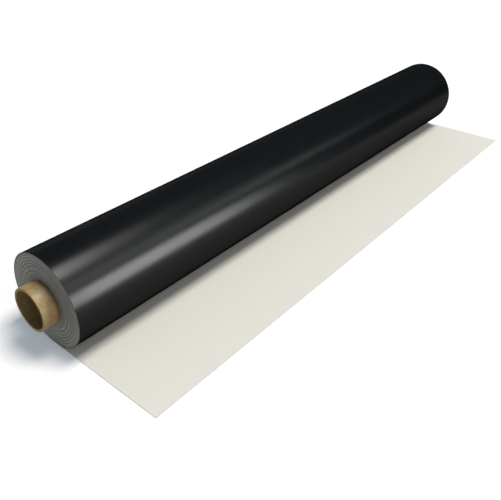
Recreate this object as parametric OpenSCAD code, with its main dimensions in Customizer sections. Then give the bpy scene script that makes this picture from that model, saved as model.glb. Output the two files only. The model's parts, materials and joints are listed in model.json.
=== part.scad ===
// Roll of thermoplastic roofing membrane on a paper core, lying on the floor with its tail unrolled.
// Millimetres, +Z up. X runs along the roll, and the tail points to -Y.
// The origin is on the floor, in the middle of the footprint.

/* [Sheet] */
// Width of the sheet, which is the length of the wound roll
sheet_w = 1830; // [900:1:3660]
// Thickness of the sheet, which is also the pitch of its turns
sheet_t = 1.22; // [0.9:0.01:2.4]
// Full length of the sheet, with its wound part and its tail
sheet_l = 30000; // [12000:10:40000]
// Length of the tail that lies flat in front of the roll
tail_l = 342; // [200:1:1500]
// Depth by which the slit edge of the sheet is crowned
edge_crown = 0.4; // [0.2:0.1:0.8]

/* [Core] */
// Inside diameter of the paper core
core_bore_d = 96; // [76:0.1:152.4]
// Wall of the core
core_wall = 6; // [3:0.5:12]
// Length of core that stands out at each end of the roll
core_stub = 42; // [0:1:120]
// Bevel on the sawn ends of the core
core_bevel = 0.6; // [0.2:0.1:1.2]

/* [Hidden] */
$fn = 180;

core_r = core_bore_d / 2 + core_wall;
core_l = sheet_w + 2 * core_stub;

// A tight roll keeps the area of the sheet's long edge: pi (roll_r^2 - core_r^2) = sheet_t * wound_l.
// The radius is kept to a hundredth of a millimetre.
wound_l = sheet_l - tail_l;
size_step = 0.01;
roll_r = round(sqrt(pow(core_r, 2) + sheet_t * wound_l / PI) / size_step) * size_step;

// The turns follow a spiral of half circles about two centres, one for the back of the roll and one
// for the front. The centres are half a pitch apart, so each whole turn gains one pitch.
back_r = roll_r;
back_z = roll_r;
front_r = roll_r - sheet_t / 2;
front_z = roll_r + sheet_t / 2;
core_z = (back_z + front_z) / 2;

// The crowns stop two turns short of the core, which leaves a flush band round it
flush_turns = 2;
crowned_turns = floor((roll_r - core_r) / sheet_t) - flush_turns;

// The turns run this far into the core's space before the bore is cut
overlap = 2 * sheet_t;

// The footprint reaches from the tail's end to the back of the roll
axis_y = (tail_l - roll_r) / 2;

sheet_black = [0.07, 0.07, 0.08];
kraft_brown = [0.62, 0.50, 0.33];

function reversed(list) = [for (i = [len(list) - 1 : -1 : 0]) list[i]];

// One end of the wound turns, from the outside in: a crown for each turn, then a flush band
function end_outline(outer_r) = concat(
    [for (i = [0 : 2 * crowned_turns])
        [outer_r - i * sheet_t / 2, sheet_w / 2 - (i % 2 == 0 ? edge_crown : 0)]],
    [[outer_r - (crowned_turns + 0.5) * sheet_t, sheet_w / 2], [core_r - overlap, sheet_w / 2]]
);

// Half of every turn, revolved from the floor up to the top about one of the spiral's centres
module half_turns(outer_r) {
    one_end = end_outline(outer_r);
    other_end = [for (p = reversed(one_end)) [p.x, -p.y]];
    rotate([0, 90, 0]) rotate_extrude(angle = 180) polygon(concat(one_end, other_end));
}

// The tail has the section of the sheet, with its crowned slit edges
module tail() {
    flat_w = sheet_w - 2 * edge_crown;
    rotate([90, 0, 0]) linear_extrude(tail_l) polygon([
        [-flat_w / 2, 0],
        [flat_w / 2, 0],
        [sheet_w / 2, sheet_t / 2],
        [flat_w / 2, sheet_t],
        [-flat_w / 2, sheet_t],
        [-sheet_w / 2, sheet_t / 2]
    ]);
}

// The sheet is one piece: its turns round the core, and the tail that leaves them along the floor
module membrane() {
    color(sheet_black) translate([0, axis_y, 0]) difference() {
        union() {
            translate([0, 0, back_z]) half_turns(back_r);
            translate([0, 0, front_z]) mirror([0, 1, 0]) half_turns(front_r);
            tail();
        }
        translate([0, 0, core_z]) rotate([0, 90, 0]) cylinder(h = core_l, r = core_r, center = true);
    }
}

// Wall of the core, with a bevel on both edges of each sawn end
module core_tube() {
    bore_r = core_bore_d / 2;
    end_x = core_l / 2;
    color(kraft_brown) translate([0, axis_y, core_z]) rotate([0, 90, 0]) rotate_extrude() polygon([
        [bore_r, -end_x + core_bevel],
        [bore_r + core_bevel, -end_x],
        [core_r - core_bevel, -end_x],
        [core_r, -end_x + core_bevel],
        [core_r, end_x - core_bevel],
        [core_r - core_bevel, end_x],
        [bore_r + core_bevel, end_x],
        [bore_r, end_x - core_bevel]
    ]);
}

membrane();
core_tube();
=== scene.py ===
# Roll of roofing membrane: the wound sheet with its tail, its kraft core, and a small studio round them
import json
import math

import bpy
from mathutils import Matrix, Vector, noise


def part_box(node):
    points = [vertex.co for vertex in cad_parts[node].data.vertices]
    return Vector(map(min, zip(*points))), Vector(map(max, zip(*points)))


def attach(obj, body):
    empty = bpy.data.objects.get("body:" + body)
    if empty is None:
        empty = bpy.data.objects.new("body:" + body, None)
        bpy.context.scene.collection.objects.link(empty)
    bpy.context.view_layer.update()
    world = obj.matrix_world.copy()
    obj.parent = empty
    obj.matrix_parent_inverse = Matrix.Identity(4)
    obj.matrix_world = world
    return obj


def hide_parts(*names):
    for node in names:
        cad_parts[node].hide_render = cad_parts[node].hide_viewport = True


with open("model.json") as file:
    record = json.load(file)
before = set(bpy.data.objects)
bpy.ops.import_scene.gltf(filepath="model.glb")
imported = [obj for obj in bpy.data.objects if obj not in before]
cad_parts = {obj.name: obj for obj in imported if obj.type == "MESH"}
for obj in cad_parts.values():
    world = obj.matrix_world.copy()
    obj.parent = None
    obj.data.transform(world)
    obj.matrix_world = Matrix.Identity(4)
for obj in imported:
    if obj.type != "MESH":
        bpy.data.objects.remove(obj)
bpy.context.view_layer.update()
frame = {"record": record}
sheetLow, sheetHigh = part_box("membrane")
coreLow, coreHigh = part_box("core_tube")
coreBore = next(m for m in frame["record"]["mounts"] if m["name"] == "core_bore")
boreRadius = coreBore["dims"]["r_mm"] / 1000
coreWall = round((coreHigh.z - coreLow.z) / 2 - boreRadius, 4)  # to a tenth of a millimetre
axisY, axisZ = coreBore["pos_m"][1:]  # the roll's axis runs along X at this place
print("frame loaded, roll axis at", round(axisY, 4), round(axisZ, 4), "and core wall", coreWall)

sharpAngle = math.radians(30)
noiseSpan = (0.3, 0.7)  # most of a noise's values lie between these


def newMesh(name, points, faces, finishes, finishOfFace):
    mesh = bpy.data.meshes.new(name)
    mesh.from_pydata(points, [], faces)
    for finish in finishes:
        mesh.materials.append(finish)
    mesh.polygons.foreach_set("material_index", finishOfFace)
    mesh.shade_smooth()
    mesh.set_sharp_from_angle(angle=sharpAngle)
    mesh.update()
    piece = bpy.data.objects.new(name, mesh)
    bpy.context.scene.collection.objects.link(piece)
    return piece


def newFinish(name):
    finish = bpy.data.materials.new(name)
    finish.use_nodes = True
    tree = finish.node_tree
    return finish, tree, tree.nodes["Principled BSDF"]


def feed(tree, socket, value):
    # a socket takes either another socket's value or a plain one
    if isinstance(value, bpy.types.NodeSocket):
        tree.links.new(value, socket)
    else:
        socket.default_value = value


def addStep(tree, kind, operation, values):
    step = tree.nodes.new(kind)
    step.operation = operation
    for socket, value in zip(step.inputs, values):
        feed(tree, socket, value)
    return step.outputs


def addMath(tree, operation, *values):
    return addStep(tree, "ShaderNodeMath", operation, values)["Value"]


def addVectorMath(tree, operation, *values):
    result = "Value" if operation in ("LENGTH", "DOT_PRODUCT") else "Vector"
    return addStep(tree, "ShaderNodeVectorMath", operation, values)[result]


def objectPlace(tree):
    return tree.nodes.new("ShaderNodeTexCoord").outputs["Object"]


def stretch(tree, place, amounts):
    # the place, squeezed or drawn out along each axis
    mapping = tree.nodes.new("ShaderNodeMapping")
    mapping.inputs["Scale"].default_value = amounts
    tree.links.new(place, mapping.inputs["Vector"])
    return mapping.outputs["Vector"]


def addNoise(tree, place, scale, detail, rough=0.55):
    grain = tree.nodes.new("ShaderNodeTexNoise")
    grain.inputs["Scale"].default_value = scale
    grain.inputs["Detail"].default_value = detail
    grain.inputs["Roughness"].default_value = rough
    tree.links.new(place, grain.inputs["Vector"])
    return grain.outputs["Fac"]


def remap(tree, value, low, high, span=noiseSpan):
    ramp = tree.nodes.new("ShaderNodeMapRange")
    ramp.inputs["From Min"].default_value, ramp.inputs["From Max"].default_value = span
    ramp.inputs["To Min"].default_value = low
    ramp.inputs["To Max"].default_value = high
    tree.links.new(value, ramp.inputs["Value"])
    return ramp.outputs["Result"]


def blendColours(tree, amount, first, second):
    mix = tree.nodes.new("ShaderNodeMix")
    mix.data_type = "RGBA"
    tree.links.new(amount, mix.inputs["Factor"])
    for socket, colour in (("A", first), ("B", second)):
        feed(tree, mix.inputs[socket], (*colour, 1) if isinstance(colour, tuple) else colour)
    return mix.outputs["Result"]


def addBump(tree, height, depth, shader):
    bump = tree.nodes.new("ShaderNodeBump")
    bump.inputs["Strength"].default_value = 1.0
    bump.inputs["Distance"].default_value = depth
    tree.links.new(height, bump.inputs["Height"])
    tree.links.new(bump.outputs["Normal"], shader.inputs["Normal"])


# In the finishes below, a noise is given by its scale, its detail and sometimes its roughness.

blackSide = {
    "colour": (0.0031, 0.0043, 0.0049),
    "duller": (0.0038, 0.0047, 0.0051),
    "cloud": (14.0, 5.0),
    "gloss": (0.245, 0.275),
    "shine": 0.29,
    "shineEdge": 0.76,  # the skin is dull when it is seen along its surface
    "lines": (260.0, 3.0),
    "lineStretch": (1.0, 0.02, 0.02),  # calender lines run round the roll
    "lineDepth": 0.000004,
}


def makeBlackSide():
    finish, tree, shader = newFinish("blackSide")
    place = objectPlace(tree)
    cloud = addNoise(tree, place, *blackSide["cloud"])
    colour = blendColours(tree, cloud, blackSide["colour"], blackSide["duller"])
    tree.links.new(colour, shader.inputs["Base Color"])
    tree.links.new(remap(tree, cloud, *blackSide["gloss"]), shader.inputs["Roughness"])
    shader.inputs["Specular IOR Level"].default_value = blackSide["shine"]
    lines = addNoise(tree, stretch(tree, place, blackSide["lineStretch"]), *blackSide["lines"])
    addBump(tree, lines, blackSide["lineDepth"], shader)
    dull = tree.nodes.new("ShaderNodeBsdfPrincipled")
    tree.links.new(colour, dull.inputs["Base Color"])
    dull.inputs["Roughness"].default_value = 1.0
    dull.inputs["Specular IOR Level"].default_value = 0.0
    angle = tree.nodes.new("ShaderNodeLayerWeight")
    angle.inputs["Blend"].default_value = blackSide["shineEdge"]
    skin = tree.nodes.new("ShaderNodeMixShader")
    tree.links.new(angle.outputs["Facing"], skin.inputs[0])
    tree.links.new(shader.outputs[0], skin.inputs[1])
    tree.links.new(dull.outputs[0], skin.inputs[2])
    tree.links.new(skin.outputs[0], tree.nodes["Material Output"].inputs["Surface"])
    return finish


whiteSide = {
    "colour": (0.805, 0.791, 0.721),
    "warmer": (0.784, 0.763, 0.686),
    "cloud": (9.0, 6.0, 0.6),
    "roughness": 0.62,
    "pebbles": (900.0, 3.0),
    "pebbleDepth": 0.00003,
}


def makeWhiteSide():
    finish, tree, shader = newFinish("whiteSide")
    place = objectPlace(tree)
    cloud = addNoise(tree, place, *whiteSide["cloud"])
    colour = blendColours(tree, cloud, whiteSide["colour"], whiteSide["warmer"])
    tree.links.new(colour, shader.inputs["Base Color"])
    shader.inputs["Roughness"].default_value = whiteSide["roughness"]
    addBump(tree, addNoise(tree, place, *whiteSide["pebbles"]), whiteSide["pebbleDepth"], shader)
    return finish


slitEdge = {
    "blackPly": (0.036, 0.038, 0.037),
    "whitePly": (0.845, 0.845, 0.785),
    "roughness": 0.75,
    "streaks": (60.0, 5.0),
    "streakTone": 0.85,
    "ringWidth": 0.0031,
    "ringDetail": 1.0,
    "ringEvery": 0.0061,  # from one darker ring to the next
    "ringEven": 0.11,  # how strong that even beat is
    "ringContrast": (-0.5, 1.5),  # wider than 0 to 1, so that the rings have firm edges
    "ringTone": 0.29,
}


def addRings(tree):
    # noise that only changes with the distance from the roll's axis, with an even beat added
    fromAxis = addVectorMath(tree, "MULTIPLY_ADD", objectPlace(tree), (0, 1, 1), (0, -axisY, -axisZ))
    radius = addVectorMath(tree, "LENGTH", fromAxis)
    rings = tree.nodes.new("ShaderNodeTexNoise")
    rings.noise_dimensions = "1D"
    rings.inputs["Scale"].default_value = 1 / slitEdge["ringWidth"]
    rings.inputs["Detail"].default_value = slitEdge["ringDetail"]
    tree.links.new(radius, rings.inputs["W"])
    beat = addMath(tree, "SINE", addMath(tree, "MULTIPLY", radius, 2 * math.pi / slitEdge["ringEvery"]))
    return addMath(tree, "MULTIPLY_ADD", beat, slitEdge["ringEven"], rings.outputs["Fac"])


def makeSlitEdge(name, colour):
    finish, tree, shader = newFinish(name)
    streaks = addNoise(tree, objectPlace(tree), *slitEdge["streaks"])
    darker = tuple(slitEdge["streakTone"] * part for part in colour)
    darkest = tuple(slitEdge["ringTone"] * part for part in colour)
    streaky = blendColours(tree, streaks, darker, colour)
    rings = remap(tree, addRings(tree), *slitEdge["ringContrast"])
    ringed = blendColours(tree, rings, streaky, darkest)  # darker rings: painted shade in the gaps between turns, and turns of a darker ply tone
    tree.links.new(ringed, shader.inputs["Base Color"])
    shader.inputs["Roughness"].default_value = slitEdge["roughness"]
    return finish


sheet = {
    "pitch": 0.00122,  # from one turn to the next
    "airGap": 0.00002,  # between two turns
    "edgeCrown": 0.00005,
    "flatLength": 30.0,
    "stepsPerTurn": 128,
    "tailSteps": 48,
    "wander": 0.00028,  # how far a turn strays sideways
    "drifts": (  # share of the straying, how fast it changes, and its own place in the noise
        (0.7, 0.31, (4.2, 1.7)),
        (0.3, 1.7, (9.1, 3.3)),
    ),
}


def edgeWander(turn):
    # turns stray a little along the roll as they were wound
    drift = 0
    for share, pace, place in sheet["drifts"]:
        drift += share * noise.noise(Vector((turn * pace, *place)))
    return sheet["wander"] * drift


def sheetStations():
    # outer and inner point of the sheet's section, from the tail's end inwards, with its turn count
    thick = sheet["pitch"] - sheet["airGap"]
    stations = []
    for i in range(sheet["tailSteps"]):
        y = sheetLow.y + (axisY - sheetLow.y) * i / sheet["tailSteps"]
        stations.append(((y, 0.0), (y, thick), 0.0))
    turns = (axisZ - sheet["pitch"] - boreRadius - coreWall) / sheet["pitch"]
    for i in range(int(turns * sheet["stepsPerTurn"]) + 1):
        turn = i / sheet["stepsPerTurn"]
        radius = axisZ - sheet["pitch"] * turn  # one pitch less for each whole turn
        angle = (turn - 0.25) * 2 * math.pi  # a quarter turn back, at the foot of the roll
        across, up = math.cos(angle), math.sin(angle)
        outer = (axisY + radius * across, axisZ + radius * up)
        inner = (axisY + (radius - thick) * across, axisZ + (radius - thick) * up)
        stations.append((outer, inner, turn))
    return stations


def buildSheet(finishes):
    points, faces, finishOfFace = [], [], []
    half = sheetHigh.x
    crown = sheet["edgeCrown"]
    for outer, inner, turn in sheetStations():
        middle = ((outer[0] + inner[0]) / 2, (outer[1] + inner[1]) / 2)
        shift = edgeWander(turn)
        for side in (-1, 1):
            points.append((side * (half - crown) + shift, *outer))
            points.append((side * half + shift, *middle))
            points.append((side * (half - crown) + shift, *inner))
    black, white, blackPly, whitePly = range(4)
    for i in range(len(points) // 6 - 1):
        a, b = 6 * i, 6 * i + 6  # six points at this station and six at the next
        for ring, finish in (
            ((b + 0, b + 3, a + 3, a + 0), black),
            ((b + 5, b + 2, a + 2, a + 5), white),
            ((b + 1, b + 0, a + 0, a + 1), blackPly),
            ((b + 2, b + 1, a + 1, a + 2), whitePly),
            ((b + 3, b + 4, a + 4, a + 3), blackPly),
            ((b + 4, b + 5, a + 5, a + 4), whitePly),
        ):
            faces.append(ring)
            finishOfFace.append(finish)
    last = len(points) - 6
    for a, order in ((0, -1), (last, 1)):  # the cut across the tail's end, and the one at the core
        for ring, finish in (((0, 1, 4, 3), blackPly), ((1, 2, 5, 4), whitePly)):
            faces.append(tuple(a + p for p in ring[::order]))
            finishOfFace.append(finish)
    return newMesh("wound_sheet", points, faces, finishes, finishOfFace)


kraft = {
    "tan": (0.440, 0.315, 0.141),
    "brown": (0.322, 0.186, 0.063),
    "olive": (0.296, 0.247, 0.111),
    # dark fibre flecks, and also the tone of the painted shade next to the turns
    "fleckAndShade": (0.140, 0.087, 0.033),
    # painted shade: the bore's paper is a darker copy of the outside paper
    "insideShade": 0.69,
    # painted light: the cut rim is a lighter copy of the outside paper, as bright as the lit outside
    "cutShade": 1.15,
    "cutShine": 0.15,
    "paintedTurnShade": 0.0115,  # how far from the turns the painted shade reaches along the core
    "tint": (60.0, 3.0, 0.6),
    "tintRange": (-0.4, 1.4),  # from brown to olive
    "patches": (90.0, 5.0, 0.65),
    "patchRange": (-0.3, 1.2),  # from those two to tan
    "fibres": (260.0, 6.0, 0.65),
    "fibreStretch": (0.35, 1, 1),  # they lie along the core
    "fibreRange": (0.5, 0.0),
    "flecks": (520.0, 2.0),
    "fleckSpan": (0.64, 0.72),  # only the noise's peaks are flecks
    "gloss": (0.36, 0.60),
    "shine": 0.52,
    "relief": 0.0001,
}


def paintShadeByTurns(tree, colour):
    # painted shade: the core is darkened where it comes out of the turns, in place of the shade there
    axes = tree.nodes.new("ShaderNodeSeparateXYZ")
    tree.links.new(objectPlace(tree), axes.inputs["Vector"])
    along = addMath(tree, "ABSOLUTE", axes.outputs["X"])
    unshaded = remap(tree, along, 0.0, 1.0, (sheetHigh.x, sheetHigh.x + kraft["paintedTurnShade"]))
    return blendColours(tree, unshaded, kraft["fleckAndShade"], colour)


def makeKraft(name, shade=1.0, shine=kraft["shine"], paintedTurnShade=False):
    finish, tree, shader = newFinish(name)
    place = objectPlace(tree)
    tan, brown, olive, fleckAndShade = (tuple(shade * part for part in kraft[tone])
                                for tone in ("tan", "brown", "olive", "fleckAndShade"))
    tint = remap(tree, addNoise(tree, place, *kraft["tint"]), *kraft["tintRange"])
    patches = remap(tree, addNoise(tree, place, *kraft["patches"]), *kraft["patchRange"])
    fibres = addNoise(tree, stretch(tree, place, kraft["fibreStretch"]), *kraft["fibres"])
    flecks = remap(tree, addNoise(tree, place, *kraft["flecks"]), 0.0, 1.0, kraft["fleckSpan"])
    darker = blendColours(tree, tint, brown, olive)
    soft = blendColours(tree, patches, darker, tan)
    grainy = blendColours(tree, remap(tree, fibres, *kraft["fibreRange"]), soft, darker)
    colour = blendColours(tree, flecks, grainy, fleckAndShade)
    # painted shade darkens the core next to the turns
    if paintedTurnShade:
        colour = paintShadeByTurns(tree, colour)
    tree.links.new(colour, shader.inputs["Base Color"])
    tree.links.new(remap(tree, fibres, *kraft["gloss"]), shader.inputs["Roughness"])
    shader.inputs["Specular IOR Level"].default_value = shine
    addBump(tree, fibres, kraft["relief"], shader)
    return finish


core = {
    "segments": 256,
    "plies": 9,
    "plyDepth": 0.00018,
    "rimRound": 0.0006,
    "fray": 0.00016,
    "frayAround": 9,  # how fast the fray changes round the end
    "frayAcross": 900,  # and from ply to ply
}
coreOutside, coreCut, coreInside = range(3)  # the core's finishes, in the order that buildCore gets them


def coreOutline():
    # half section of the wall, from the bore round one end to the outside and back, as (x, radius, finish)
    half = coreHigh.x
    outerR = boreRadius + coreWall
    rim = core["rimRound"]
    oneEnd = [(half - rim, boreRadius, coreCut)]
    steps = 2 * core["plies"]
    flat = coreWall - 2 * rim
    for i in range(steps + 1):
        depth = core["plyDepth"] if i % 2 else 0.0
        oneEnd.append((half - depth, boreRadius + rim + flat * i / steps, coreCut))
    oneEnd.append((half - rim, outerR, coreOutside))
    otherEnd = [(-x, r, kind) for x, r, kind in reversed(oneEnd)]
    otherEnd[0] = (-(half - rim), outerR, coreCut)
    otherEnd[-1] = (-(half - rim), boreRadius, coreInside)
    return oneEnd + otherEnd


def buildCore(finishes):
    outline = coreOutline()
    count = core["segments"]
    around, across = core["frayAround"], core["frayAcross"]
    points, faces, finishOfFace = [], [], []
    for x, radius, kind in outline:
        for s in range(count):
            angle = 2 * math.pi * s / count
            y, z = math.cos(angle), math.sin(angle)
            rough = noise.noise(Vector((y * around + x, z * around, radius * across)))
            inward = core["fray"] * (1 + rough) / 2 if kind == coreCut else 0.0
            points.append((x - math.copysign(inward, x), axisY + radius * y, axisZ + radius * z))
    for i in range(len(outline)):
        j = (i + 1) % len(outline)
        for s in range(count):
            t = (s + 1) % count
            faces.append((i * count + s, j * count + s, j * count + t, i * count + t))
            finishOfFace.append(outline[i][2])
    return newMesh("paper_core", points, faces, finishes, finishOfFace)


woundSheet = buildSheet([
    makeBlackSide(),
    makeWhiteSide(),
    makeSlitEdge("blackPlyEdge", slitEdge["blackPly"]),
    makeSlitEdge("whitePlyEdge", slitEdge["whitePly"]),
])
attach(woundSheet, "root")
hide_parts("membrane")
print("sheet wound,", len(woundSheet.data.polygons), "faces")

paperCore = buildCore([
    # the outside gets painted shade next to the turns
    makeKraft("kraftOutside", paintedTurnShade=True),
    # the cut rim is painted lighter, as painted light
    makeKraft("kraftEdge", kraft["cutShade"], kraft["cutShine"]),
    # the bore's paper is painted darker as shade
    makeKraft("kraftInside", kraft["insideShade"]),
])
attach(paperCore, "root")
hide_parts("core_tube")
print("core rolled,", len(paperCore.data.polygons), "faces")


def isSeen(tree):
    # 1 for what the eye, a gloss or a glass sees, and 0 for the light thrown on dull surfaces
    ray = tree.nodes.new("ShaderNodeLightPath").outputs
    seen = addMath(tree, "MAXIMUM", ray["Is Camera Ray"], ray["Is Glossy Ray"])
    return addMath(tree, "MAXIMUM", seen, ray["Is Transmission Ray"])


floor = {
    "size": 32.0,
    "drop": 0.0001,  # just under the sheet
    "seen": (0.95, 0.90, 0.885),
    "bounce": (0.50, 0.50, 0.50),  # what it throws back on the roll
    "glow": 0.218,  # lifts the floor's shadow, but throws no light on the roll
    "glowColour": (0.69, 0.86, 1.0),
}


def addFloor():
    half = floor["size"] / 2
    finish, tree, shader = newFinish("paleFloor")
    seen = isSeen(tree)
    tree.links.new(blendColours(tree, seen, floor["bounce"], floor["seen"]), shader.inputs["Base Color"])
    shader.inputs["Roughness"].default_value = 1.0
    shader.inputs["Specular IOR Level"].default_value = 0.0
    shader.inputs["Emission Color"].default_value = (*floor["glowColour"], 1)
    tree.links.new(addMath(tree, "MULTIPLY", seen, floor["glow"]), shader.inputs["Emission Strength"])
    corners = [(-half, -half, 0), (half, -half, 0), (half, half, 0), (-half, half, 0)]
    ground = newMesh("floor", corners, [(0, 1, 2, 3)], [finish], [0])
    ground.location.z = -floor["drop"]


# Lamps: edges along X and along Y for each metre up, radiance, and where it shows
overheadLamps = {
    "softKey": ((0.06, 0.46), (-0.48, -0.10), 19.7, "everywhere"),
    "keyShoulder": ((0.06, 0.46), (-0.10, 0.03), 15.1, "gloss"),
}
keyHeight = 100.0  # far off, so that its light is even
keyColour = (1.03, 1.0, 0.975)
# Lamps in front: edges along X and up, place along Y, radiance, and where it shows
frontLamps = {
    "lowBar": ((0.05, 1.90), (0.0, 1.27), -2.5, 16.7, "gloss"),
    "highBar": ((0.12, 4.50), (1.83, 3.20), -2.5, 2.72, "gloss"),
    "topBar": ((0.12, 4.50), (3.20, 5.00), -2.5, 1.09, "gloss"),
    "frontFill": ((-40.0, 40.0), (0.0, 25.0), -20.0, 0.69, "dull"),
}


def addPanel(name, place, aim, size, glow, shows, colour=(1, 1, 1)):
    # a soft box whose face has the radiance given as its glow
    lamp = bpy.data.lights.new(name, "AREA")
    lamp.shape = "RECTANGLE"
    lamp.size, lamp.size_y = size
    lamp.energy = glow * math.pi * size[0] * size[1]
    lamp.color = colour
    holder = bpy.data.objects.new(name, lamp)
    bpy.context.scene.collection.objects.link(holder)
    holder.location = place
    holder.rotation_euler = (Vector(place) - Vector(aim)).to_track_quat("Z", "Y").to_euler()
    holder.visible_camera = False
    holder.visible_diffuse = shows != "gloss"
    holder.visible_glossy = shows != "dull"


def addOverheadLamps():
    for name, ((x0, x1), (y0, y1), glow, shows) in overheadLamps.items():
        place = Vector(((x0 + x1) / 2, (y0 + y1) / 2, 1.0)) * keyHeight
        size = ((x1 - x0) * keyHeight, (y1 - y0) * keyHeight)
        addPanel(name, place, place - Vector((0, 0, 1)), size, glow, shows, keyColour)


def addFrontLamps():
    for name, ((x0, x1), (z0, z1), y, glow, shows) in frontLamps.items():
        place = Vector(((x0 + x1) / 2, y, (z0 + z1) / 2))
        addPanel(name, place, place + Vector((0, 1, 0)), (x1 - x0, z1 - z0), glow, shows)


card = {
    "upright": ((1.95, 11.0), (0.0, 1.7), -2.55),  # edges along X and up, and place along Y
    "foot": ((1.5, 7.0), (-2.55, -0.7), 0.001),  # edges along X and along Y, and height
    "colour": (0.01, 0.01, 0.011),
}


def addBlackCard():
    # stands beside the low bar, with a foot on the floor, and keeps the far half's gloss dark
    finish, _, shader = newFinish("blackCard")
    shader.inputs["Base Color"].default_value = (*card["colour"], 1)
    shader.inputs["Specular IOR Level"].default_value = 0.0
    (x0, x1), (z0, z1), y = card["upright"]
    corners = [(x0, y, z0), (x1, y, z0), (x1, y, z1), (x0, y, z1)]
    (x0, x1), (y0, y1), z = card["foot"]
    corners += [(x0, y0, z), (x1, y0, z), (x1, y1, z), (x0, y1, z)]
    board = newMesh("black_card", corners, [(0, 1, 2, 3), (4, 5, 6, 7)], [finish], [0, 0])
    board.visible_camera = False
    board.visible_diffuse = False
    board.visible_shadow = False


sky = {
    "colour": (0.88, 1.0, 1.10),
    "glow": {(1, 0, 0): 0.204, (0, 1, 0): 0.247, (0, 0, 1): 0.117},
    "whiteUpTo": (0.15, 0.19),  # heights between which the sky that is seen fades from white
    "whiteLean": 0.5,  # how much higher the white reaches for each step away from the gleams' side
    "gleamSide": 0.6,  # as far along X as the white leans
}


def addSky():
    # a dim sky, a little brighter on each named side, which looks white just above the floor's edge
    world = bpy.data.worlds.new("studioSky")
    bpy.context.scene.world = world
    world.use_nodes = True
    tree = world.node_tree
    look = tree.nodes.new("ShaderNodeTexCoord").outputs["Generated"]
    glow = 0.0
    for side, strength in sky["glow"].items():
        facing = addVectorMath(tree, "DOT_PRODUCT", look, [strength * part for part in side])
        glow = addMath(tree, "ADD", glow, addMath(tree, "MAXIMUM", facing, 0.0))
    dim = addVectorMath(tree, "MULTIPLY", sky["colour"], glow)
    axes = tree.nodes.new("ShaderNodeSeparateXYZ")
    tree.links.new(look, axes.inputs["Vector"])
    away = addMath(tree, "MINIMUM", addMath(tree, "SUBTRACT", axes.outputs["X"], sky["gleamSide"]), 0.0)
    height = addMath(tree, "MULTIPLY_ADD", away, sky["whiteLean"], axes.outputs["Z"])
    low = remap(tree, height, 1.0, 0.0, sky["whiteUpTo"])
    pale = addMath(tree, "MULTIPLY", low, isSeen(tree))
    tree.links.new(blendColours(tree, pale, dim, (1.0, 1.0, 1.0)), tree.nodes["Background"].inputs["Color"])


view = {
    "place": (-1.4191, -0.8853, 0.9423),
    "turn": -49.63,
    "lookDown": 32.18,
    "focal": 42.62,
    "filmWidth": 36.0,
    "shift": (0.0172, -0.0309),
}


def addCamera():
    camera = bpy.data.cameras.new("camera")
    camera.sensor_width = view["filmWidth"]
    camera.lens = view["focal"]
    camera.shift_x, camera.shift_y = view["shift"]
    holder = bpy.data.objects.new("camera", camera)
    bpy.context.scene.collection.objects.link(holder)
    holder.location = view["place"]
    holder.rotation_euler = (math.radians(90 - view["lookDown"]), 0, math.radians(view["turn"]))
    bpy.context.scene.camera = holder


addFloor()
addOverheadLamps()
addFrontLamps()
addBlackCard()
addSky()
addCamera()
bpy.context.scene.view_settings.view_transform = "Standard"
print("studio lit")
